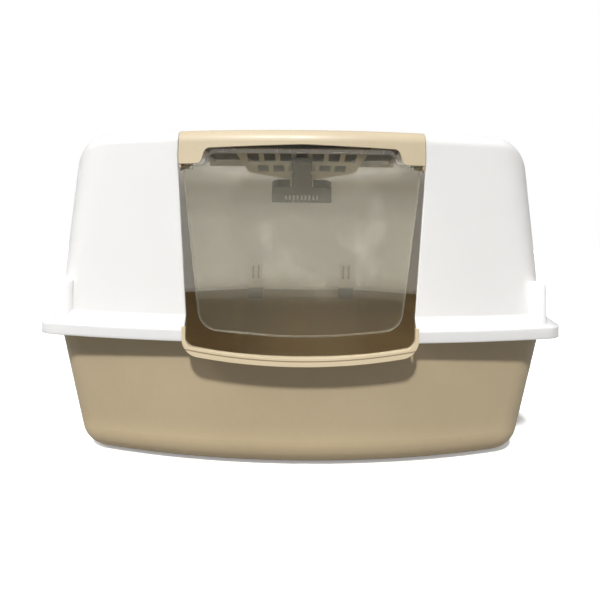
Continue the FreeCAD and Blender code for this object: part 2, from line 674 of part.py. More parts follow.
# ------------------------------------------------------------------ front lid
side = D("open_high") - D("seam")
side_low = D("open_low") + slope * (D("lobe_low") - D("flange_low")) - D("seam")
lid_face = extrude("lid_face", polygon("lid_face_sk", [
    (-side_low, D("lobe_low")), (-D("lobe_in"), D("lobe_low"), 7.0),
    (-D("arch_out"), D("arch_side"), 8.0), (0, D("arch_mid")), (D("arch_out"), D("arch_side"), 8.0),
    (D("lobe_in"), D("lobe_low"), 7.0), (side_low, D("lobe_low")), (side, D("open_knee")),
    (side, D("roof_top") + 6), (-side, D("roof_top") + 6), (-side, D("open_knee"))],
    FRONT, 0, -250, 0), (0, 1, 0), Size.of(250) + D("open_rear") - D("seam"))
lid_skin = common("lid_skin", dome_skin, lid_face)

# side cheeks carry the door pivots
cheeks = []
for tag, sign in (("left", -1), ("right", 1)):
    x0 = D("cheek_in") if sign > 0 else -(D("cheek_in") + D("cheek_wall"))
    y, z, r = D("pivot_y"), D("pivot_z"), D("eye")
    plate = extrude("cheek_plate_" + tag, polygon("cheek_sk_" + tag, [
        (-y - r, z - r, 4.9), (-y + r, z - r, 4.9), (-y + r, z + 8),
        (-y + 34, z + 34), (-y + 34, D("roof_top") - 1), (-y - 20, D("roof_top") - 1), (-y - 20, D("lobe_low") + 1),
        (-y - r, D("lobe_low") + 1)], SIDE, x0, 0, 0), (1, 0, 0), D("cheek_wall"))
    cheeks.append(common("cheek_" + tag, plate, dome_outer))

# lid knuckles with their tabs
tabs = []
for tag, sign in (("left", -1), ("right", 1)):
    lo = D("knuckle_in") + D("knuckle_long") + 0.4
    if sign < 0:
        lo = -(D("knuckle_in") + D("knuckle_long") * 2 - 0.4)
    wide = D("knuckle_long") - 0.8
    tabs.append(rod("lid_knuckle_" + tag, D("knuckle"), lo, wide, D("hinge_y"), D("hinge_z")))
    tabs.append(box("lid_tab_low_" + tag, lo, lo + wide, 12, D("open_rear") - D("seam"),
                    D("roof_top") - 1, D("hinge_z")))
    tabs.append(box("lid_tab_high_" + tag, lo, lo + wide, 20, D("hinge_y"),
                    D("hinge_z") - 4, D("hinge_z") + 1.5))

# roof vents, a row of slots over the filter
vent = doc.addObject("PartDesign::Body", "vent_slots")
sk = vent.newObject("Sketcher::SketchObject", "vent_sk")
plane = [p for p in vent.Origin.OriginFeatures if p.Role == "XY_Plane"][0]
sk.AttachmentSupport = [(plane, "")]
sk.MapMode = "FlatFace"
fill_polygon(sk, [(-D("vent_width") / 2, 0, 2.4), (D("vent_width") / 2, 0, 2.4),
                  (D("vent_width") / 2, D("vent_length"), 2.4), (-D("vent_width") / 2, D("vent_length"), 2.4)])
pad = vent.newObject("PartDesign::Pad", "vent_pad")
pad.Profile = sk
pad.Length = 20
doc.recompute()
row = vent.newObject("PartDesign::LinearPattern", "vent_row")
row.Originals = [pad]
row.Direction = (sk, ["H_Axis"])
bind(row, "Length", D("vent_pitch") * 10)
row.Occurrences = 11
vent.Tip = row
place(vent, FLAT, -(D("vent_pitch") * 5), -78, D("roof_top") - 10)

pivot_bore = rod("pivot_bore", D("pin_radius") + D("pin_play"), -170, 340, -D("pivot_y"), D("pivot_z"))
lid_bore = rod("lid_hinge_bore", D("pin_radius") + D("pin_play"), -150, 300, D("hinge_y"), D("hinge_z"))
lid = cut("lid_solid", cut("lid_vented", cut("lid_bored", fuse("lid_parts", [lid_skin] + cheeks + tabs), pivot_bore), lid_bore), vent)
node(lid, "front_lid")

# ----------------------------------------------------------------- swing door
def door_shape(name, less, brow, y0, length):
    w0, w1, low = D("door_wide") - less, D("door_narrow") - less, D("door_side_low") + less
    neck, bend = D("door_neck") - less * 0.45, D("door_bend") - less
    arch, top = D("door_arch") - less * 0.45, D("door_top") - brow
    return extrude(name, polygon(name + "_sk", [
        (-w1, low, D("door_corner") - less), (0, D("door_low") + less, D("door_low_bow")),
        (w1, low, D("door_corner") - less),
        (w0, D("pivot_z") - 12), (w0, D("door_shoulder") - less, 3.0), (neck, bend, 7.0), (arch, top, 9.0),
        (-arch, top, 9.0), (-neck, bend, 7.0), (-w0, D("door_shoulder") - less, 3.0), (-w0, D("pivot_z") - 12)],
        FRONT, 0, y0, 0), (0, 1, 0), length)


door_face = door_shape("door_face", Size.of(0), Size.of(0), -220, 80)
door_hole = door_shape("door_hole", D("door_rim"), D("door_brow"), -220, 80)
panel = extrude("door_slab", bow_plan("door_slab_sk", D("door_mid") + D("door_wall") / 2, D("door_bow"), 160, 0, 140, D("door_wall")),
                (0, 0, 1), 270)
bead = extrude("door_bead_slab", bow_plan("door_bead_sk", D("door_mid") + D("door_wall") / 2 + D("door_bead"),
                                          D("door_bow") + D("door_bead"), 160, 0, 140, D("door_wall") + D("door_bead") * 2),
               (0, 0, 1), 270)
door_parts = [common("door_panel_plain", panel, door_face),
              cut("door_edge", common("door_edge_full", bead, door_face), door_hole)]
for tag, sign in (("left", -1), ("right", 1)):
    x0 = D("barrel_in") if sign > 0 else -D("barrel_out")
    door_parts.append(rod("door_barrel_" + tag, D("barrel"), x0, D("barrel_out") - D("barrel_in"),
                          -D("pivot_y"), D("pivot_z")))
door_bores = []
for tag, sign in (("left", -1), ("right", 1)):
    x0 = D("barrel_in") + 4 if sign > 0 else -160
    length = Size.of(160) - D("barrel_in") - 4
    if sign < 0:
        x0 = Size.of(-160)
    door_bores.append(rod("door_bore_" + tag, D("pin_radius"), x0, length, -D("pivot_y"), D("pivot_z")))
door = cut("door_solid", fuse("door_parts", door_parts), fuse("door_bores", door_bores))
node(door, "door_panel")

for tag, sign in (("left", -1), ("right", 1)):
    body = doc.addObject("PartDesign::Body", "door_pin_body_" + tag)
    sk = body.newObject("Sketcher::SketchObject", "door_pin_sk_" + tag)
    plane = [p for p in body.Origin.OriginFeatures if p.Role == "YZ_Plane"][0]
    sk.AttachmentSupport = [(plane, "")]
    sk.MapMode = "FlatFace"
    sk.addGeometry(Part.Circle(Vector(0, 0, 0), Vector(0, 0, 1), VALUES["pin_radius"]), False)
    sk.addConstraint(Sketcher.Constraint("Coincident", 0, 3, -1, 1))
    drive(sk, "Radius", (0,), D("pin_radius"))
    pad = body.newObject("PartDesign::Pad", "door_pin_pad_" + tag)
    pad.Profile = sk
    length = D("cheek_in") + D("cheek_wall") + 0.6 - D("barrel_in") - 4
    bind(pad, "Length", length)
    body.Tip = pad
    x0 = D("barrel_in") + 4 if sign > 0 else -(D("barrel_in") + 4 + length)
    place(body, FLAT, x0, -D("pivot_y"), D("pivot_z"))
    node(body, "door_pin_" + tag)

# ------------------------------------------- filter frame, cover, carbon pad
def filter_plan(name, less, z):
    f, k, r = D("filter_front") - less, D("filter_knee"), D("filter_rear") - less
    w, m, t = D("filter_wide") - less, D("filter_mid") - less, D("filter_tip")
    return polygon(name, [(-w, -f, 5.0), (w, -f, 5.0), (m, -k, 8.0), (t, r, 8.0), (-t, r, 8.0), (-m, -k, 8.0)],
                   FLAT, 0, 0, z)


frame_out = extrude("frame_outer", filter_plan("frame_outer_sk", Size.of(-3.2), D("filter_high") - 3), (0, 0, 1),
                    D("roof_top") - skin - D("filter_high") + 3)
frame_in = extrude("frame_inner", filter_plan("frame_inner_sk", Size.of(-0.6), D("filter_high") - 4), (0, 0, 1), 12)
frame = cut("filter_frame_solid", frame_out, frame_in)
node(frame, "filter_frame")

fall = (D("filter_lip") - D("filter_deep")) / (D("filter_front") + D("filter_rear"))


def wedge(name, lift, top, half):
    """Side view of the sloping filter cover, swept across its width."""
    y0, y1 = -D("filter_front") - 4, D("filter_rear") + 4
    return extrude(name, polygon(name + "_sk", [
        (y0, D("filter_lip") + fall * 4 + lift), (y1, D("filter_deep") - fall * 4 + lift), (y1, top), (y0, top)],
        SIDE, -half, 0, 0), (1, 0, 0), half * 2)


cover_out = common("cover_outer", extrude("cover_plan", filter_plan("cover_plan_sk", Size.of(0), 370), (0, 0, 1), 60),
                   wedge("cover_wedge", Size.of(0), D("filter_high"), Size.of(100)))
cover_in = common("cover_inner", extrude("cover_plan_in", filter_plan("cover_plan_in_sk", D("filter_wall"), 370), (0, 0, 1), 60),
                  wedge("cover_wedge_in", D("filter_wall"), D("filter_high") + 5, Size.of(101)))
grid = []
for tag, y0, y1, count in (("front", -88, -55, 7), ("rear", -44, -16, 6)):
    b = doc.addObject("PartDesign::Body", "window_" + tag)
    sk = b.newObject("Sketcher::SketchObject", "window_sk_" + tag)
    plane = [p for p in b.Origin.OriginFeatures if p.Role == "XY_Plane"][0]
    sk.AttachmentSupport = [(plane, "")]
    sk.MapMode = "FlatFace"
    hw = D("window_wide") / 2
    fill_polygon(sk, [(-hw, 0, 2.0), (hw, 0, 2.0), (hw, y1 - y0, 2.0), (-hw, y1 - y0, 2.0)])
    pad = b.newObject("PartDesign::Pad", "window_pad_" + tag)
    pad.Profile = sk
    pad.Length = 36
    doc.recompute()
    row = b.newObject("PartDesign::LinearPattern", "window_row_" + tag)
    row.Originals = [pad]
    row.Direction = (sk, ["H_Axis"])
    bind(row, "Length", D("window_pitch") * (count - 1))
    row.Occurrences = count
    b.Tip = row
    place(b, FLAT, -(D("window_pitch") * ((count - 1) / 2.0)), y0, 370)
    grid.append(b)
fingers = []
for tag, sign in (("left", -1), ("right", 1)):
    for k, y0 in enumerate((-54.5, -9)):
        a, b = D("finger_gap"), D("finger_gap") + D("finger_wall")
        x0, x1 = (a, b) if sign > 0 else (-b, -a)
        floor_z = D("filter_lip") - fall * (y0 + VALUES["filter_front"])
        fingers.append(box("finger_%s_%d" % (tag, k), x0, x1, y0, y0 + 9, floor_z - (13, 20)[k], floor_z + 1.0))
cover = fuse("cover_solid", [cut("cover_open", cut("cover_hollow", cover_out, cover_in), fuse("cover_grid", grid))] + fingers)
node(cover, "filter_cover")

pad_body = doc.addObject("PartDesign::Body", "carbon_pad")
sk = pad_body.newObject("Sketcher::SketchObject", "carbon_pad_sk")
plane = [p for p in pad_body.Origin.OriginFeatures if p.Role == "XY_Plane"][0]
sk.AttachmentSupport = [(plane, "")]
sk.MapMode = "FlatFace"
g = D("filter_wall") + 1.2
fill_polygon(sk, [(-(D("filter_wide") - g - 2), -78, 6.0), (D("filter_wide") - g - 2, -78, 6.0),
                  (D("filter_mid") - g - 1, -D("filter_knee"), 8.0), (D("filter_tip"), D("filter_rear") - g - 2, 8.0),
                  (-D("filter_tip"), D("filter_rear") - g - 2, 8.0), (-(D("filter_mid") - g - 1), -D("filter_knee"), 8.0)])
pad = pad_body.newObject("PartDesign::Pad", "carbon_pad_pad")
pad.Profile = sk
bind(pad, "Length", D("pad_high") - D("pad_low"))
pad_body.Tip = pad
place(pad_body, FLAT, 0, 0, D("pad_low"))
node(pad_body, "carbon_filter")

# ----------------------------------------------------------------------- tray
def tray_section(name, z, high, skin_):
    inset = D("tray_inset_high") if high else D("tray_inset_low")
    front = D("tray_front_high") if high else D("tray_front_low")
    return step_in(name, z, inset, front, skin_, D("tray_corner"), D("bow_tray"))


tw = D("tray_wall")
tub_out = loft("tub_outer", [tray_section("tub_o1", Size.of(0), False, 0), tray_section("tub_o2", D("tray_top"), True, 0)])
tub_outer = round_edges("tub_outer_round", tub_out, D("base_round"), level(0.0))
rim = loft("rim_solid", [
    step_in("rim_1", D("rim_low"), 0, 0, D("rim_gap")),
    step_in("rim_2", D("rim_mid"), 0, 0, D("rim_gap")),
    step_in("rim_3", D("rim_high"), D("rim_inset"), D("rim_front")),
])
tub_in = loft("tub_inner", [tray_section("tub_i1", tw, False, tw), tray_section("tub_i2", D("tray_top"), True, tw),
                            tray_section("tub_i3", D("rim_high") + 12, True, tw)])
tub_inner = round_edges("tub_inner_round", tub_in, D("base_round") - tw, level(tw.v))
groove = cut("rim_groove", extrude("groove_outer", step_in("groove_sk1", D("rim_low") - 4, 0, 0, 7.2), (0, 0, 1), 10.5),
             extrude("groove_inner", step_in("groove_sk2", D("rim_low") - 5, D("tray_inset_high") - 1.5, D("tray_front_high") - 2, 0,
                                     D("tray_corner"), D("bow_tray")), (0, 0, 1), 13))

flange_bow = D("corner_front") + (D("flange_half") - D("corner_front")) / D("bow_hood")
lip_slab = extrude("lip_slab", bow_plan("lip_slab_sk", D("flange_front") + D("lip_reach"), flange_bow + D("lip_reach"),
                                        170, -200, 120), (0, 0, 1), 70)
lip_u = extrude("lip_u", u_shape("lip_u_sk", D("lip_half"), D("lip_end"), D("lip_low"), D("lip_bow") + 10, D("lip_corner_out"), -250),
                (0, 1, 0), 90)
dip = extrude("entrance_dip", u_shape("dip_sk", D("lip_inner"), D("rim_high") + 30, D("lip_top"), D("lip_bow"), D("lip_corner"), -260),
              (0, 1, 0), Size.of(261) - D("lip_back"))
dip_rear = extrude("entrance_dip_rear", u_shape("dip_rear_sk", D("open_low") + 3.4, D("rim_high") + 30, D("lip_top") - D("lip_step"),
                                                 D("lip_bow"), D("lip_corner"), -D("lip_back")), (0, 1, 0), 75)
lip_full = common("lip_full", lip_slab, lip_u)
# room for the hood flange behind the lip ends
relief_slab = extrude("relief_slab", bow_plan("relief_sk", D("flange_front") + 0.8, flange_bow + 0.8, 170, -190, 120), (0, 0, 1), 80)
relief = []
for tag, sign in (("left", -1), ("right", 1)):
    a, b = D("open_low") - 1.0, Size.of(175)
    x0, x1 = (a, b) if sign > 0 else (-b, -a)
    relief.append(common("relief_" + tag, relief_slab, box("relief_box_" + tag, x0, x1, -245, -185, D("flange_low") - 0.8, 200)))
lip = cut("lip_relieved", lip_full, fuse("relief_both", relief))
# the rim stops beside the entrance so that the lip ends meet the wall below it
tub = cut("tub_grooved", fuse("tub_rim", [tub_outer, rim]), groove)
tray = cut("tray_solid", cut("tray_hollow", fuse("tub_lip", [tub, lip]), tub_inner), fuse("dip_both", [dip, dip_rear]))
node(tray, "tray")

# ----------------------------------------------------------------- rear clips
for tag, sign in (("left", -1), ("right", 1)):
    body = doc.addObject("PartDesign::Body", "clip_body_" + tag)
    sk = body.newObject("Sketcher::SketchObject", "clip_sk_" + tag)
    plane = [p for p in body.Origin.OriginFeatures if p.Role == "XZ_Plane"][0]
    sk.AttachmentSupport = [(plane, "")]
    sk.MapMode = "FlatFace"
    w, f = D("clip_wide") / 2, D("clip_foot") / 2
    h, k = D("clip_top") - D("clip_low"), D("clip_knee") - D("clip_low")
    fill_polygon(sk, [(-f, 0, 3.0), (f, 0, 3.0), (f, k - 8), (w, k), (w, h, 2.5), (-w, h, 2.5), (-w, k), (-f, k - 8)])
    pad = body.newObject("PartDesign::Pad", "clip_pad_" + tag)
    pad.Profile = sk
    bind(pad, "Length", D("clip_thick"))
    pad.Reversed = True
    # stem that joins the clip to the rear wall
    stem_sk = body.newObject("Sketcher::SketchObject", "clip_stem_sk_" + tag)
    stem_sk.AttachmentSupport = [(plane, "")]
    stem_sk.MapMode = "FlatFace"
    fill_polygon(stem_sk, [(-(w - 2), h - 26), (w - 2, h - 26), (w - 2, h - 2), (-(w - 2), h - 2)])
    stem = body.newObject("PartDesign::Pad", "clip_stem_" + tag)
    stem.Profile = stem_sk
    stem.Reversed = True
    bind(stem, "Length", D("clip_thick") + 0.6)
    doc.recompute()
    slot_sk = body.newObject("Sketcher::SketchObject", "clip_slot_sk_" + tag)
    slot_sk.AttachmentSupport = [(plane, "")]
    slot_sk.MapMode = "FlatFace"
    s, q = D("clip_slot") / 2, D("clip_slot_pitch") / 2
    fill_polygon(slot_sk, [(-(q + s), h - 31, 1.6), (-(q - s), h - 31, 1.6), (-(q - s), h - 4, 1.6), (-(q + s), h - 4, 1.6)])
    slot = body.newObject("PartDesign::Pocket", "clip_slot_" + tag)
    slot.Profile = slot_sk
    slot.Length = 3.2
    slot.Reversed = True
    doc.recompute()
    before = stem.Shape.Volume
    if slot.Shape.Volume > before - 1:
        slot.Reversed = False
        doc.recompute()
    assert slot.Shape.Volume < before - 50, "clip slot cut nothing"
    row = body.newObject("PartDesign::LinearPattern", "clip_slots_" + tag)
    row.Originals = [slot]
    row.Direction = (slot_sk, ["H_Axis"])
    bind(row, "Length", D("clip_slot_pitch"))
    row.Occurrences = 2
    body.Tip = row
    place(body, FLAT, D("clip_x") * sign, D("clip_face"), D("clip_low"))
    node(body, "rear_clip_" + tag)

# ---------------------------------------------------------------------- scoop
body = doc.addObject("PartDesign::Body", "scoop_body")
plane = [p for p in body.Origin.OriginFeatures if p.Role == "XY_Plane"][0]


def flat_sketch(name):
    s_ = body.newObject("Sketcher::SketchObject", name)
    s_.AttachmentSupport = [(plane, "")]
    s_.MapMode = "FlatFace"
    return s_


grip, long_ = D("scoop_grip"), D("scoop_long")
sk = flat_sketch("scoop_blade_sk")
fill_polygon(sk, [(-D("scoop_neck"), grip, 18.0), (D("scoop_neck"), grip, 18.0),
                  (D("scoop_mouth"), grip + long_, 6.0), (-D("scoop_mouth"), grip + long_, 6.0)])
blade = body.newObject("PartDesign::Pad", "scoop_blade")
blade.Profile = sk
bind(blade, "Length", D("scoop_side"))
sk = flat_sketch("scoop_hollow_sk")
t = D("scoop_skin")
fill_polygon(sk, [(-(D("scoop_neck") - t), grip + t, 15.8), (D("scoop_neck") - t, grip + t, 15.8),
                  (D("scoop_mouth") - t, grip + long_ + 6), (-(D("scoop_mouth") - t), grip + long_ + 6)])
sk.AttachmentOffset = Placement(Vector(0, 0, t.v), Rotation())
sk.setExpression(".AttachmentOffset.Base.z", t.e)
hollow = body.newObject("PartDesign::Pocket", "scoop_hollow")
hollow.Profile = sk
hollow.Type = "ThroughAll"
hollow.Reversed = True
doc.recompute()
assert hollow.Shape.Volume < blade.Shape.Volume * 0.5, "scoop hollow cut nothing"
sk = flat_sketch("scoop_handle_sk")
w = D("scoop_width") / 2
n = w - D("scoop_waist")
fill_polygon(sk, [(-w, 0, 12.0), (w, 0, 12.0), (w, 26, 14.0), (n, 48, 18.0), (w, 70, 14.0), (w, grip + 1.4),
                  (-w, grip + 1.4), (-w, 70, 14.0), (-n, 48, 18.0), (-w, 26, 14.0)])
handle = body.newObject("PartDesign::Pad", "scoop_handle")
handle.Profile = sk
bind(handle, "Length", D("scoop_thick"))
doc.recompute()
sk = flat_sketch("scoop_slot_sk")
q = D("scoop_slot") / 2
first = -(D("scoop_pitch") * 4)
fill_polygon(sk, [(first - q, grip + long_ - 46, 1.4), (first + q, grip + long_ - 46, 1.4), (first + q, grip + long_ - 9, 1.4),
                  (first - q, grip + long_ - 9, 1.4)])
slot = body.newObject("PartDesign::Pocket", "scoop_slot")
slot.Profile = sk
slot.Length = 4
slot.Reversed = True
doc.recompute()
assert slot.Shape.Volume < handle.Shape.Volume - 150, "scoop slot cut nothing"
row = body.newObject("PartDesign::LinearPattern", "scoop_slots")
row.Originals = [slot]
row.Direction = (sk, ["H_Axis"])
bind(row, "Length", D("scoop_pitch") * 8)
row.Occurrences = 9
body.Tip = row
place(body, Rotation(Vector(1, 0, 0), -VALUES["scoop_tilt"]), 0, -D("scoop_front"), D("scoop_z"))
node(body, "scoop")

# --------------------------------------------------------------------- output
doc.recompute()
bad = [o.Name for o in doc.Objects if "Invalid" in o.State or "Error" in o.State]
for o in NODES:
    s = o.Shape
    if s.isNull() or not s.isValid():
        bad.append(o.Label + " shape")
    print("%-22s solids %d  volume %9.1f cm3  x %7.1f %7.1f  y %7.1f %7.1f  z %7.1f %7.1f" % (
        o.Label, len(s.Solids), s.Volume / 1000.0, s.BoundBox.XMin, s.BoundBox.XMax,
        s.BoundBox.YMin, s.BoundBox.YMax, s.BoundBox.ZMin, s.BoundBox.ZMax))
if bad:
    raise RuntimeError("not usable: " + ", ".join(bad))
os.makedirs("parts", exist_ok=True)
for o in NODES:
    o.Shape.exportStep("parts/%s.step" % o.Label)
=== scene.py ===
import math
import random

import bmesh
import bpy
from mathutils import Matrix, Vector, noise


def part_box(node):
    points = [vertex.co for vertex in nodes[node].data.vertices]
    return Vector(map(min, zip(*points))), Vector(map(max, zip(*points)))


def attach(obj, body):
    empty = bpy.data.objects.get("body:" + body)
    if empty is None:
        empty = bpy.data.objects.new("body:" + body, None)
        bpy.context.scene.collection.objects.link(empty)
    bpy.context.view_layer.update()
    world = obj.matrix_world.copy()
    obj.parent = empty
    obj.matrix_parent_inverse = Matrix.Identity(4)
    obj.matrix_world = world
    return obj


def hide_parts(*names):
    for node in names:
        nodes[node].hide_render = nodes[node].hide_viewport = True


random.seed(7)
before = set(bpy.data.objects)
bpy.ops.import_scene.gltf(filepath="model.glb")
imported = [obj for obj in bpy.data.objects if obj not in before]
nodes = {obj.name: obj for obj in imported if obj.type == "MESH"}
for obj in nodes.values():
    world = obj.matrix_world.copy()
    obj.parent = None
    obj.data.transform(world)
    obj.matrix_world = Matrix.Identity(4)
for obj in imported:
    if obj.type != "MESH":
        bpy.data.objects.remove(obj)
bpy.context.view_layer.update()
scene = bpy.context.scene


# ------------------------------------------------------------ node helpers
class Graph:
    def __init__(self, name):
        self.mat = bpy.data.materials.new(name)
        self.mat.use_nodes = True
        self.tree = self.mat.node_tree
        self.tree.nodes.clear()
        self.out = self.add("ShaderNodeOutputMaterial")
        self.shader = self.add("ShaderNodeBsdfPrincipled")
        self.link(self.shader.outputs[0], self.out.inputs[0])
        self.coord = self.add("ShaderNodeTexCoord").outputs["Object"]

    def add(self, kind, **props):
        n = self.tree.nodes.new(kind)
        for k, v in props.items():
            setattr(n, k, v)
        return n

    def link(self, a, b):
        self.tree.links.new(a, b)

    def put(self, n, **values):
        for k, v in values.items():
            sock = n.inputs[k.replace("_", " ")] if k.replace("_", " ") in n.inputs else n.inputs[k]
            if isinstance(v, bpy.types.NodeSocket):
                self.link(v, sock)
            else:
                sock.default_value = v

    def noise(self, scale, detail=3.0, rough=0.5, stretch=None, shift=0.0):
        n = self.add("ShaderNodeTexNoise")
        src = self.coord
        if stretch or shift:
            m = self.add("ShaderNodeMapping")
            m.inputs["Scale"].default_value = stretch or (1, 1, 1)
            m.inputs["Location"].default_value = (shift, shift * 0.7, shift * 1.3)
            self.link(src, m.inputs["Vector"])
            src = m.outputs[0]
        self.link(src, n.inputs["Vector"])
        n.inputs["Scale"].default_value = scale
        n.inputs["Detail"].default_value = detail
        n.inputs["Roughness"].default_value = rough
        return n.outputs["Fac"]

    def ramp(self, value, lo, hi, a=0.0, b=1.0):
        n = self.add("ShaderNodeMapRange", clamp=True)
        self.link(value, n.inputs["Value"])
        n.inputs["From Min"].default_value = lo
        n.inputs["From Max"].default_value = hi
        n.inputs["To Min"].default_value = a
        n.inputs["To Max"].default_value = b
        return n.outputs[0]

    def math(self, op, a, b=0.0):
        n = self.add("ShaderNodeMath", operation=op)
        for i, v in enumerate((a, b)):
            if isinstance(v, bpy.types.NodeSocket):
                self.link(v, n.inputs[i])
            else:
                n.inputs[i].default_value = v
        return n.outputs[0]

    def mix(self, fac, a, b, blend="MIX"):
        n = self.add("ShaderNodeMix", data_type="RGBA", blend_type=blend)
        for sock, v in ((n.inputs[0], fac), (n.inputs[6], a), (n.inputs[7], b)):
            if isinstance(v, bpy.types.NodeSocket):
                self.link(v, sock)
            else:
                sock.default_value = v
        return n.outputs[2]

    def bump(self, height, strength, distance, normal=None):
        n = self.add("ShaderNodeBump")
        n.inputs["Strength"].default_value = strength
        n.inputs["Distance"].default_value = distance
        self.link(height, n.inputs["Height"])
        if normal is not None:
            self.link(normal, n.inputs["Normal"])
        return n.outputs[0]

    def edge(self, radius):
        """(mask of convex and concave edges, softened normal)"""
        bev = self.add("ShaderNodeBevel", samples=6)
        bev.inputs["Radius"].default_value = radius
        geo = self.add("ShaderNodeNewGeometry")
        dot = self.add("ShaderNodeVectorMath", operation="DOT_PRODUCT")
        self.link(bev.outputs[0], dot.inputs[0])
        self.link(geo.outputs["Normal"], dot.inputs[1])
        return self.ramp(dot.outputs["Value"], 0.995, 0.80), bev.outputs[0]


def rgb(hex_, k=1.0):
    vals = [int(hex_[i:i + 2], 16) / 255.0 for i in (0, 2, 4)]
    return tuple([min(1.0, k * (v / 12.92 if v <= 0.04045 else ((v + 0.055) / 1.055) ** 2.4)) for v in vals] + [1.0])


def plastic(name, colour, dark, rough, grain=1500.0, grain_depth=0.00003, wear=0.35, soft=0.0008, sss=0.0,
            sss_scale=0.004, scuff=0.12, pale=None):
    """Moulded plastic: uneven pigment, moulded grain, rubbed and scuffed gloss, rubbed edges."""
    g = Graph(name)
    blotch = g.noise(5.0, 4.0, 0.55)
    fleck = g.noise(140.0, 2.0, 0.6, shift=3.1)
    base = g.mix(g.ramp(blotch, 0.32, 0.68), dark, colour)
    base = g.mix(g.ramp(fleck, 0.42, 0.72, 0.0, 0.10), base, pale or colour)
    mask, soft_n = g.edge(soft)
    worn = g.math("MULTIPLY", mask, g.ramp(g.noise(60.0, 3.0, 0.6, shift=1.7), 0.35, 0.65))
    lighter = tuple(min(1.0, c * 1.14 + 0.015) for c in colour[:3]) + (1.0,)
    base = g.mix(g.math("MULTIPLY", worn, wear), base, lighter)
    g.put(g.shader, Base_Color=base)
    # gloss: broad rubbed areas, fine scuffs in two directions
    rub = g.ramp(g.noise(11.0, 5.0, 0.6, shift=5.0), 0.3, 0.7, rough - 0.05, rough + 0.07)
    s1 = g.ramp(g.noise(9.0, 2.0, 0.5, stretch=(3, 60, 90), shift=2.0), 0.62, 0.70)
    s2 = g.ramp(g.noise(7.0, 2.0, 0.5, stretch=(80, 50, 4), shift=8.0), 0.64, 0.71)
    scuffs = g.math("MULTIPLY", g.math("MAXIMUM", s1, s2), scuff)
    rough_all = g.math("ADD", g.math("ADD", rub, scuffs), g.math("MULTIPLY", worn, 0.10))
    g.put(g.shader, Roughness=rough_all)
    # relief: moulded grain, orange peel, then the scuffs
    n = g.bump(g.noise(38.0, 2.0, 0.5, shift=4.0), 0.10, 0.0006, soft_n)
    n = g.bump(g.noise(grain, 3.0, 0.65, shift=6.0), 0.55, grain_depth, n)
    n = g.bump(g.math("SUBTRACT", 1.0, g.math("MAXIMUM", s1, s2)), 0.05, 0.00004, n)
    g.put(g.shader, Normal=n)
    g.shader.inputs["IOR"].default_value = 1.49
    if sss:
        g.shader.subsurface_method = "RANDOM_WALK"
        g.shader.inputs["Subsurface Weight"].default_value = sss
        g.shader.inputs["Subsurface Scale"].default_value = sss_scale
        g.shader.inputs["Subsurface Radius"].default_value = (1.0, 1.0, 1.0)
    return g.mat


white = plastic("hood_white", rgb("FAFAF8"), rgb("F7F7F5"), 0.33, grain=1300.0, grain_depth=0.00002, wear=0.2,
                soft=0.0030, sss=0.85, sss_scale=0.012, scuff=0.10)
clip_white = plastic("clip_white", rgb("FCFBF8"), rgb("F8F6F1"), 0.36, grain=1600.0, wear=0.2, sss=0.4)
tan = plastic("tray_tan", rgb("AC9C7F"), rgb("A69679"), 0.44, grain=1100.0, grain_depth=0.00005, wear=0.4, scuff=0.14,
              pale=rgb("B6A688"))
lid_tan = plastic("lid_tan", rgb("C4B599"), rgb("BDAE92"), 0.40, grain=1100.0, grain_depth=0.00004, wear=0.35,
                  scuff=0.10, pale=rgb("CEBFA3"))
grey = plastic("filter_grey", rgb("E6E2DB"), rgb("DEDAD2"), 0.42, grain=1500.0, wear=0.3)
scoop_grey = plastic("scoop_grey", rgb("625C5A"), rgb("575150"), 0.38, grain=1200.0, grain_depth=0.00004, wear=0.5)
pin_tan = plastic("pin_tan", rgb("D2C09A"), rgb("CAB890"), 0.28, grain=2200.0, grain_depth=0.00001, wear=0.5)
pin_white = plastic("pin_white", rgb("ECECEA"), rgb("E6E6E4"), 0.26, grain=2200.0, grain_depth=0.00001, wear=0.4)


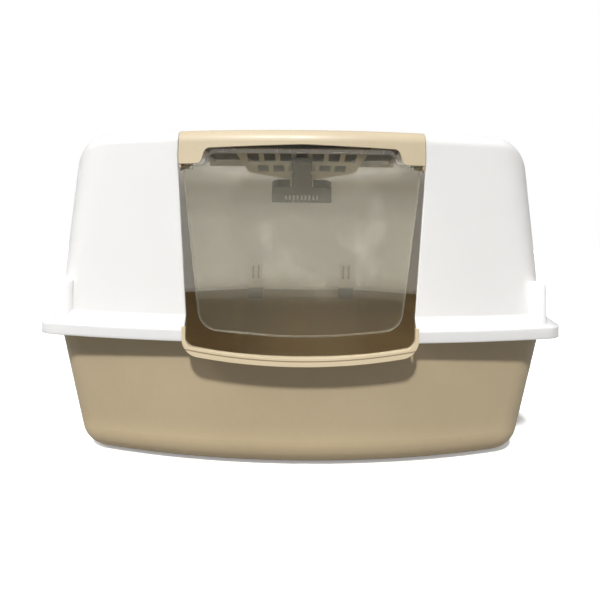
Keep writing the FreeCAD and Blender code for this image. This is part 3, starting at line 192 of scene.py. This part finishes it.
def smoke(name):
    """Clear smoke-tinted door plastic: faint haze, hairline scratches, smears, and a frosted raised edge."""
    g = Graph(name)
    smear = g.ramp(g.noise(7.0, 5.0, 0.62, stretch=(1, 1, 0.6), shift=2.0), 0.45, 0.72)
    s1 = g.ramp(g.noise(8.0, 2.0, 0.5, stretch=(4, 30, 110), shift=3.0), 0.66, 0.70)
    s2 = g.ramp(g.noise(8.0, 2.0, 0.5, stretch=(95, 30, 5), shift=9.0), 0.67, 0.71)
    hair = g.math("MAXIMUM", s1, s2)
    # the raised edge stands proud of the bowed sheet: distance from its middle surface
    away = g.add("ShaderNodeVectorMath", operation="MULTIPLY_ADD")
    g.link(g.coord, away.inputs[0])
    away.inputs[1].default_value = (1.0, 1.0, 0.0)
    away.inputs[2].default_value = (0.0, -DOOR_AXIS, 0.0)
    far = g.add("ShaderNodeVectorMath", operation="LENGTH")
    g.link(away.outputs[0], far.inputs[0])
    proud = g.math("ABSOLUTE", g.math("SUBTRACT", far.outputs["Value"], DOOR_MIDDLE))
    mask, soft_n = g.edge(0.0006)
    # frosted along the top, nearly clear down the sides and along the bottom
    place = g.add("ShaderNodeSeparateXYZ")
    g.link(g.coord, place.inputs[0])
    crown = g.ramp(place.outputs["Z"], DOOR_CROWN, DOOR_CROWN + 0.004, 0.07, 1.0)
    rim = g.math("MULTIPLY", g.ramp(proud, 0.0013, 0.0017), crown)
    rim = g.math("MAXIMUM", rim, g.math("MULTIPLY", mask, 0.10))
    g.put(g.shader, Roughness=g.math("ADD", g.math("ADD", g.ramp(smear, 0.0, 1.0, 0.02, 0.07), g.math("MULTIPLY", hair, 0.08)),
                                     g.math("MULTIPLY", rim, 0.20)))
    tint = g.mix(g.ramp(g.noise(4.0, 3.0, 0.5), 0.3, 0.7), rgb("ECEADD"), rgb("F1EFE3"))
    g.put(g.shader, Base_Color=g.mix(rim, tint, rgb("F1EEE8")))
    # scratched and hazy where the animal pushes it, clearer along the bottom
    haze = g.ramp(g.noise(5.0, 3.0, 0.5, shift=6.0), 0.3, 0.7, 0.10, 0.135)
    wipe = g.ramp(g.noise(11.0, 4.0, 0.55, stretch=(1, 1, 0.8), shift=7.3), 0.56, 0.72)
    haze = g.math("ADD", haze, g.math("MULTIPLY", wipe, 0.11))
    haze = g.math("MULTIPLY", haze, g.ramp(place.outputs["Z"], 0.200, 0.236, 0.13, 1.0))
    haze = g.math("MULTIPLY", haze, g.ramp(place.outputs["Z"], 0.300, 0.345, 1.0, 0.40))
    clear = g.math("SUBTRACT", 1.0, haze)
    g.put(g.shader, Transmission_Weight=g.math("SUBTRACT", clear, g.math("MULTIPLY", rim, 0.40)))
    g.put(g.shader, Normal=g.bump(g.noise(16.0, 2.0, 0.5, shift=1.0), 0.06, 0.0008, g.bump(hair, 0.03, 0.00003, soft_n)))
    g.shader.inputs["IOR"].default_value = 1.30
    # lamps shine through the clear sheet, dimmed by its tint
    through = g.add("ShaderNodeBsdfTransparent")
    through.inputs[0].default_value = rgb("EFECE5")
    path = g.add("ShaderNodeLightPath")
    both = g.add("ShaderNodeMixShader")
    g.link(path.outputs["Is Shadow Ray"], both.inputs[0])
    g.link(g.shader.outputs[0], both.inputs[1])
    g.link(through.outputs[0], both.inputs[2])
    g.link(both.outputs[0], g.out.inputs[0])
    return g.mat


# the door is a sheet bowed about an upright axis behind its middle
door_low, door_high = (Vector(p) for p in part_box("door_panel"))
DOOR_BOW, DOOR_FRONT, DOOR_BEAD = 1.600, 0.1858, 0.0006
DOOR_CROWN = 0.3740
DOOR_AXIS = DOOR_BOW + DOOR_BEAD - DOOR_FRONT
DOOR_MIDDLE = DOOR_BOW - 0.0012
door_mat = smoke("door_smoke")


def paint_hollow_shade(mat, reach, shade):
    """Painted shade: the colour is darkened in narrow slots, by ambient occlusion."""
    tree = mat.node_tree
    shader = next(n for n in tree.nodes if n.type == "BSDF_PRINCIPLED")
    old = shader.inputs["Base Color"].links[0].from_socket
    ao = tree.nodes.new("ShaderNodeAmbientOcclusion")
    ao.samples = 8
    ao.only_local = True
    ao.inputs["Distance"].default_value = reach
    ramp = tree.nodes.new("ShaderNodeMapRange")
    tree.links.new(ao.outputs["AO"], ramp.inputs["Value"])
    ramp.inputs["From Min"].default_value = 0.35
    ramp.inputs["From Max"].default_value = 0.95
    ramp.inputs["To Min"].default_value = 1.0
    ramp.inputs["To Max"].default_value = 0.0
    mix = tree.nodes.new("ShaderNodeMix")
    mix.data_type, mix.blend_type = "RGBA", "MULTIPLY"
    tree.links.new(ramp.outputs[0], mix.inputs[0])
    tree.links.new(old, mix.inputs[6])
    mix.inputs[7].default_value = shade
    tree.links.new(mix.outputs[2], shader.inputs["Base Color"])


def paint_foot_shade(mat, low, high, shade):
    """Painted shade: the foot of the clip, below the tray's rim, is darkened in its colour."""
    tree = mat.node_tree
    shader = next(n for n in tree.nodes if n.type == "BSDF_PRINCIPLED")
    old = shader.inputs["Base Color"].links[0].from_socket
    coord = next(n for n in tree.nodes if n.type == "TEX_COORD").outputs["Object"]
    split = tree.nodes.new("ShaderNodeSeparateXYZ")
    tree.links.new(coord, split.inputs[0])
    ramp = tree.nodes.new("ShaderNodeMapRange")
    tree.links.new(split.outputs["Z"], ramp.inputs["Value"])
    ramp.inputs["From Min"].default_value = low
    ramp.inputs["From Max"].default_value = high
    ramp.inputs["To Min"].default_value = 1.0
    ramp.inputs["To Max"].default_value = 0.0
    mix = tree.nodes.new("ShaderNodeMix")
    mix.data_type, mix.blend_type = "RGBA", "MULTIPLY"
    tree.links.new(ramp.outputs[0], mix.inputs[0])
    tree.links.new(old, mix.inputs[6])
    mix.inputs[7].default_value = shade
    tree.links.new(mix.outputs[2], shader.inputs["Base Color"])


# painted shade: darker colour in the clip's slots, and on the clip's foot below the tray's rim
paint_hollow_shade(clip_white, 0.007, (0.14, 0.13, 0.11, 1.0))
paint_foot_shade(clip_white, 0.1805, 0.1850, (0.24, 0.22, 0.20, 1.0))


def paint_underside_shade(mat, low, high, front, colour):
    """Painted shade and reflection: the lid's underside is coloured dark slate; its front wall and top are not."""
    tree = mat.node_tree
    shader = next(n for n in tree.nodes if n.type == "BSDF_PRINCIPLED")
    old = shader.inputs["Base Color"].links[0].from_socket
    coord = next(n for n in tree.nodes if n.type == "TEX_COORD").outputs["Object"]
    split = tree.nodes.new("ShaderNodeSeparateXYZ")
    tree.links.new(coord, split.inputs[0])
    grain = tree.nodes.new("ShaderNodeTexNoise")
    tree.links.new(coord, grain.inputs["Vector"])
    grain.inputs["Scale"].default_value = 30.0
    masks = []
    for axis, a, b, to_a, to_b in (("Z", low, low + 0.003, 0.0, 1.0), ("Z", high, high + 0.0006, 1.0, 0.0),
                                   ("Y", front, front + 0.006, 0.0, 1.0)):
        ramp = tree.nodes.new("ShaderNodeMapRange")
        tree.links.new(split.outputs[axis], ramp.inputs["Value"])
        ramp.inputs["From Min"].default_value = a
        ramp.inputs["From Max"].default_value = b
        ramp.inputs["To Min"].default_value = to_a
        ramp.inputs["To Max"].default_value = to_b
        masks.append(ramp.outputs[0])
    spread = tree.nodes.new("ShaderNodeMapRange")
    tree.links.new(grain.outputs["Fac"], spread.inputs["Value"])
    spread.inputs["From Min"].default_value = 0.3
    spread.inputs["From Max"].default_value = 0.7
    spread.inputs["To Min"].default_value = 0.85
    spread.inputs["To Max"].default_value = 1.0
    masks.append(spread.outputs[0])
    total = masks[0]
    for other in masks[1:]:
        both = tree.nodes.new("ShaderNodeMath")
        both.operation = "MULTIPLY"
        tree.links.new(total, both.inputs[0])
        tree.links.new(other, both.inputs[1])
        total = both.outputs[0]
    mix = tree.nodes.new("ShaderNodeMix")
    mix.data_type = "RGBA"
    tree.links.new(total, mix.inputs[0])
    tree.links.new(old, mix.inputs[6])
    mix.inputs[7].default_value = colour
    tree.links.new(mix.outputs[2], shader.inputs["Base Color"])


# painted shade and reflection: dark slate on the lid's underside
paint_underside_shade(lid_tan, 0.408, 0.4150, -0.150, rgb("5C5F6C"))


def felt(name):
    g = Graph(name)
    fibre = g.noise(520.0, 6.0, 0.75)
    strands = g.noise(160.0, 4.0, 0.6, stretch=(1, 5, 1), shift=3.0)
    g.put(g.shader, Base_Color=g.mix(g.ramp(fibre, 0.35, 0.7), rgb("4A4A4C"), rgb("747476")))
    g.put(g.shader, Roughness=g.ramp(fibre, 0.3, 0.7, 0.85, 1.0))
    g.put(g.shader, Normal=g.bump(strands, 0.5, 0.0008, g.bump(fibre, 0.8, 0.0005)))
    g.shader.inputs["Sheen Weight"].default_value = 0.4
    g.shader.inputs["Sheen Roughness"].default_value = 0.5
    return g.mat


felt_mat = felt("carbon_felt")


def paint_lip_light(mat, colour):
    """Painted light: the lip, which stands ahead of the bowed tray front, is made paler in its colour."""
    tree = mat.node_tree
    shader = next(n for n in tree.nodes if n.type == "BSDF_PRINCIPLED")
    old = shader.inputs["Base Color"].links[0].from_socket
    coord = next(n for n in tree.nodes if n.type == "TEX_COORD").outputs["Object"]
    away = tree.nodes.new("ShaderNodeVectorMath")
    away.operation = "MULTIPLY_ADD"
    away.inputs[1].default_value = (1.0, 1.0, 0.0)
    away.inputs[2].default_value = (0.0, -LIP_AXIS, 0.0)
    tree.links.new(coord, away.inputs[0])
    far = tree.nodes.new("ShaderNodeVectorMath")
    far.operation = "LENGTH"
    tree.links.new(away.outputs[0], far.inputs[0])
    ramp = tree.nodes.new("ShaderNodeMapRange")
    tree.links.new(far.outputs["Value"], ramp.inputs["Value"])
    ramp.inputs["From Min"].default_value = LIP_RADIUS - 0.012
    ramp.inputs["From Max"].default_value = LIP_RADIUS - 0.005
    mix = tree.nodes.new("ShaderNodeMix")
    mix.data_type = "RGBA"
    tree.links.new(ramp.outputs[0], mix.inputs[0])
    tree.links.new(old, mix.inputs[6])
    tint = tree.nodes.new("ShaderNodeMix")
    tint.data_type, tint.blend_type = "RGBA", "MULTIPLY"
    tint.inputs[0].default_value = 1.0
    tree.links.new(old, tint.inputs[6])
    tint.inputs[7].default_value = colour
    tree.links.new(tint.outputs[2], mix.inputs[7])
    # painted shade: a fine dark line runs along the lip, parallel to the sill, for the shade of a groove
    side = tree.nodes.new("ShaderNodeVectorMath")
    side.operation = "MULTIPLY_ADD"
    side.inputs[1].default_value = (1.0, 0.0, 1.0)
    side.inputs[2].default_value = (0.0, 0.0, -SILL_AXIS)
    tree.links.new(coord, side.inputs[0])
    arc = tree.nodes.new("ShaderNodeVectorMath")
    arc.operation = "LENGTH"
    tree.links.new(side.outputs[0], arc.inputs[0])
    off = tree.nodes.new("ShaderNodeMath")
    off.operation = "SUBTRACT"
    tree.links.new(arc.outputs["Value"], off.inputs[0])
    off.inputs[1].default_value = SILL_RADIUS + 0.0034
    size = tree.nodes.new("ShaderNodeMath")
    size.operation = "ABSOLUTE"
    tree.links.new(off.outputs[0], size.inputs[0])
    line = tree.nodes.new("ShaderNodeMapRange")
    tree.links.new(size.outputs[0], line.inputs["Value"])
    line.inputs["From Min"].default_value = 0.0004
    line.inputs["From Max"].default_value = 0.0010
    line.inputs["To Min"].default_value = 1.0
    line.inputs["To Max"].default_value = 0.0
    only = tree.nodes.new("ShaderNodeMath")
    only.operation = "MULTIPLY"
    tree.links.new(line.outputs[0], only.inputs[0])
    tree.links.new(ramp.outputs[0], only.inputs[1])
    dark = tree.nodes.new("ShaderNodeMix")
    dark.data_type, dark.blend_type = "RGBA", "MULTIPLY"
    tree.links.new(only.outputs[0], dark.inputs[0])
    tree.links.new(mix.outputs[2], dark.inputs[6])
    dark.inputs[7].default_value = (0.42, 0.38, 0.34, 1.0)
    tree.links.new(dark.outputs[2], shader.inputs["Base Color"])


SILL_AXIS, SILL_RADIUS = 0.9526, 0.810
LIP_AXIS, LIP_RADIUS = 0.892, 1.126
def paint_floor_bounce_light(mat, high, shade):
    """Painted light: the tray's colour is made paler low down, for light thrown back from the floor."""
    tree = mat.node_tree
    shader = next(n for n in tree.nodes if n.type == "BSDF_PRINCIPLED")
    old = shader.inputs["Base Color"].links[0].from_socket
    coord = next(n for n in tree.nodes if n.type == "TEX_COORD").outputs["Object"]
    split = tree.nodes.new("ShaderNodeSeparateXYZ")
    tree.links.new(coord, split.inputs[0])
    ramp = tree.nodes.new("ShaderNodeMapRange")
    ramp.interpolation_type = "SMOOTHSTEP"
    tree.links.new(split.outputs["Z"], ramp.inputs["Value"])
    ramp.inputs["From Min"].default_value = -0.005
    ramp.inputs["From Max"].default_value = high
    ramp.inputs["To Min"].default_value = 1.0
    ramp.inputs["To Max"].default_value = 0.0
    mix = tree.nodes.new("ShaderNodeMix")
    mix.data_type, mix.blend_type = "RGBA", "MULTIPLY"
    tree.links.new(ramp.outputs[0], mix.inputs[0])
    tree.links.new(old, mix.inputs[6])
    mix.inputs[7].default_value = shade
    tree.links.new(mix.outputs[2], shader.inputs["Base Color"])


# painted light: the tray is made paler towards its bottom
paint_floor_bounce_light(tan, 0.060, (1.42, 1.40, 1.36, 1.0))
# painted light: the lip is made paler; painted shade: a dark line along it
paint_lip_light(tan, (1.48, 1.52, 1.60, 1.0))

LOOK = {
    "tray": tan, "hood_shell": white, "front_lid": lid_tan, "filter_frame": lid_tan, "filter_cover": grey,
    "scoop": scoop_grey, "door_panel": door_mat, "door_pin_left": pin_tan, "door_pin_right": pin_tan,
    "lid_hinge_pin_left": pin_white, "lid_hinge_pin_right": pin_white,
    "rear_clip_left": clip_white, "rear_clip_right": clip_white, "carbon_filter": felt_mat,
}
for name, mat in LOOK.items():
    o = nodes[name]
    if not o.material_slots:
        o.data.materials.append(mat)
    for s in o.material_slots:
        s.material = mat

# ------------------------------------------------------------ the carbon pad
def pad_piece():
    """Felt pad in the space of the filter's pad: crowned, soft rim, slightly uneven."""
    lo, hi = (Vector(p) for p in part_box("carbon_filter"))
    outline = [(0.0898, -0.0772), (0.0792, -0.0145), (0.0165, 0.0138), (-0.0165, 0.0138), (-0.0792, -0.0145),
               (-0.0898, -0.0772)]
    ring = []
    count = len(outline)
    for i in range(count):
        p0, p1, p2 = (Vector(outline[k % count]) for k in (i - 1 + count, i, i + 1))
        a, b = (p0 - p1).normalized(), (p2 - p1).normalized()
        r = 0.006
        for k in range(7):
            t = k / 6.0
            q = (1 - t) ** 2 * (p1 + a * r) + 2 * t * (1 - t) * p1 + t * t * (p1 + b * r)
            ring.append(q)
    dense = []
    for i, p in enumerate(ring):
        q = ring[(i + 1) % len(ring)]
        steps = max(1, int((q - p).length / 0.004))
        dense += [p + (q - p) * (k / steps) for k in range(steps)]
    middle = Vector((0.0, -0.032))
    bm = bmesh.new()
    half = (hi.z - lo.z) / 2 - 0.0003
    mid_z = (hi.z + lo.z) / 2
    layers = []
    profile = [(0.986, -1.0), (0.996, -0.72), (1.0, -0.3), (1.0, 0.3), (0.996, 0.72), (0.986, 1.0)]
    for scale, level_ in profile:
        layers.append([bm.verts.new((middle.x + (p.x - middle.x) * scale, middle.y + (p.y - middle.y) * scale,
                                     mid_z + level_ * half * 0.86)) for p in dense])
    for lower, upper in zip(layers, layers[1:]):
        for i in range(len(dense)):
            j = (i + 1) % len(dense)
            bm.faces.new((lower[i], lower[j], upper[j], upper[i]))
    for side, layer in ((-1, layers[0]), (1, layers[-1])):
        last = layer
        for scale in (0.955, 0.90, 0.80, 0.68, 0.54, 0.40, 0.26, 0.13):
            now = [bm.verts.new((middle.x + (p.x - middle.x) * scale, middle.y + (p.y - middle.y) * scale,
                                 mid_z + side * half * (0.90 + 0.08 * (1 - scale)))) for p in dense]
            for i in range(len(dense)):
                j = (i + 1) % len(dense)
                quad = (last[i], last[j], now[j], now[i]) if side > 0 else (last[j], last[i], now[i], now[j])
                bm.faces.new(quad)
            last = now
        tip = bm.verts.new((middle.x, middle.y, mid_z + side * half * 0.98))
        for i in range(len(dense)):
            j = (i + 1) % len(dense)
            bm.faces.new((last[i], last[j], tip) if side > 0 else (last[j], last[i], tip))
    for v in bm.verts:
        dent = noise.noise(Vector((v.co.x, v.co.y, v.co.z * 2)) * 90.0)
        v.co.z -= (1 if v.co.z > mid_z else -1) * half * 0.10 * (0.5 + 0.5 * dent)
    bm.normal_update()
    mesh = bpy.data.meshes.new("carbon_felt_pad")
    bm.to_mesh(mesh)
    bm.free()
    for poly in mesh.polygons:
        poly.use_smooth = True
    o = bpy.data.objects.new("carbon_felt_pad", mesh)
    scene.collection.objects.link(o)
    mesh.materials.append(felt_mat)
    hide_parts("carbon_filter")
    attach(o, "filter")
    return o


pad_piece()

# ---------------------------------------------------------------- the stage
bpy.ops.mesh.primitive_plane_add(size=40, location=(0, 0, 0))
floor = bpy.context.object
floor.name = "floor"
g = Graph("floor_pale")
g.put(g.shader, Base_Color=g.mix(g.ramp(g.noise(2.0, 3.0, 0.5), 0.3, 0.7), rgb("F4F4F3"), rgb("F7F7F6")))
g.put(g.shader, Roughness=g.ramp(g.noise(8.0, 3.0, 0.5), 0.3, 0.7, 0.85, 0.95))
g.shader.inputs["Specular IOR Level"].default_value = 0.0
# a white sweep to look at, which throws only part of the light back on to the object
g.put(g.shader, Emission_Color=g.mix(g.ramp(g.noise(1.5, 3.0, 0.5, shift=2.0), 0.3, 0.7), rgb("F6F6F6"), rgb("FAFAFA")))
g.shader.inputs["Emission Strength"].default_value = 0.32
dull = g.add("ShaderNodeBsdfDiffuse")
g.link(g.mix(g.ramp(g.noise(2.0, 3.0, 0.5, shift=4.0), 0.3, 0.7), rgb("9B9A98"), rgb("A1A09E")), dull.inputs[0])
sweep = g.add("ShaderNodeMixShader")
g.link(g.add("ShaderNodeLightPath").outputs["Is Camera Ray"], sweep.inputs[0])
g.link(dull.outputs[0], sweep.inputs[1])
g.link(g.shader.outputs[0], sweep.inputs[2])
g.link(sweep.outputs[0], g.out.inputs[0])
floor.data.materials.append(g.mat)

world = bpy.data.worlds.new("studio")
scene.world = world
world.use_nodes = True
wt = world.node_tree
wt.nodes.clear()
w_out = wt.nodes.new("ShaderNodeOutputWorld")
w_mix = wt.nodes.new("ShaderNodeMixShader")
w_path = wt.nodes.new("ShaderNodeLightPath")
w_amb = wt.nodes.new("ShaderNodeBackground")
w_see = wt.nodes.new("ShaderNodeBackground")
w_amb.inputs[0].default_value = (1.0, 1.0, 1.0, 1.0)
w_amb.inputs[1].default_value = 0.20
w_see.inputs[0].default_value = (1.0, 1.0, 1.0, 1.0)
w_see.inputs[1].default_value = 1.0
wt.links.new(w_path.outputs["Is Camera Ray"], w_mix.inputs[0])
wt.links.new(w_amb.outputs[0], w_mix.inputs[1])
wt.links.new(w_see.outputs[0], w_mix.inputs[2])
wt.links.new(w_mix.outputs[0], w_out.inputs[0])


def area(name, at, aim, size, power, colour=(1, 1, 1)):
    light = bpy.data.lights.new(name, "AREA")
    light.shape = "RECTANGLE"
    light.size, light.size_y = size
    light.energy = power
    light.color = colour
    o = bpy.data.objects.new(name, light)
    scene.collection.objects.link(o)
    o.location = at
    o.rotation_euler = (Vector(aim) - Vector(at)).to_track_quat("-Z", "Y").to_euler()
    return o


def sun(name, azimuth, height, angle, strength, colour=(1, 1, 1)):
    """azimuth from the front, positive to the right seen from the front."""
    light = bpy.data.lights.new(name, "SUN")
    light.energy = strength
    light.angle = math.radians(angle)
    light.color = colour
    o = bpy.data.objects.new(name, light)
    scene.collection.objects.link(o)
    a, h = math.radians(azimuth), math.radians(height)
    towards = Vector((math.sin(a) * math.cos(h), -math.cos(a) * math.cos(h), math.sin(h)))
    o.location = towards * 3.0
    o.rotation_euler = towards.to_track_quat("Z", "Y").to_euler()
    return o


sun("key", -9, 50, 5, 3.75)
sun("left", -66, 40, 20, 0.9)
area("top", (0.0, 0.1, 2.3), (0, 0, 0.3), (1.6, 1.4), 4)

scene.view_settings.view_transform = "Standard"
scene.view_settings.look = "None"
scene.view_settings.exposure = 0.0

cam_data = bpy.data.cameras.new("camera")
cam = bpy.data.objects.new("camera", cam_data)
scene.collection.objects.link(cam)
cam_data.sensor_width = 36.0
cam_data.lens = 482.0 / 600.0 * 36.0
cam_data.shift_x = -1.2 / 600.0
cam_data.shift_y = -58.0 / 600.0
cam_data.clip_start = 0.02
cam.location = (0.0, -0.786, 0.2765)
cam.rotation_euler = (math.radians(90), math.radians(-0.55), 0.0)
cam.rotation_mode = "XYZ"
scene.camera = cam
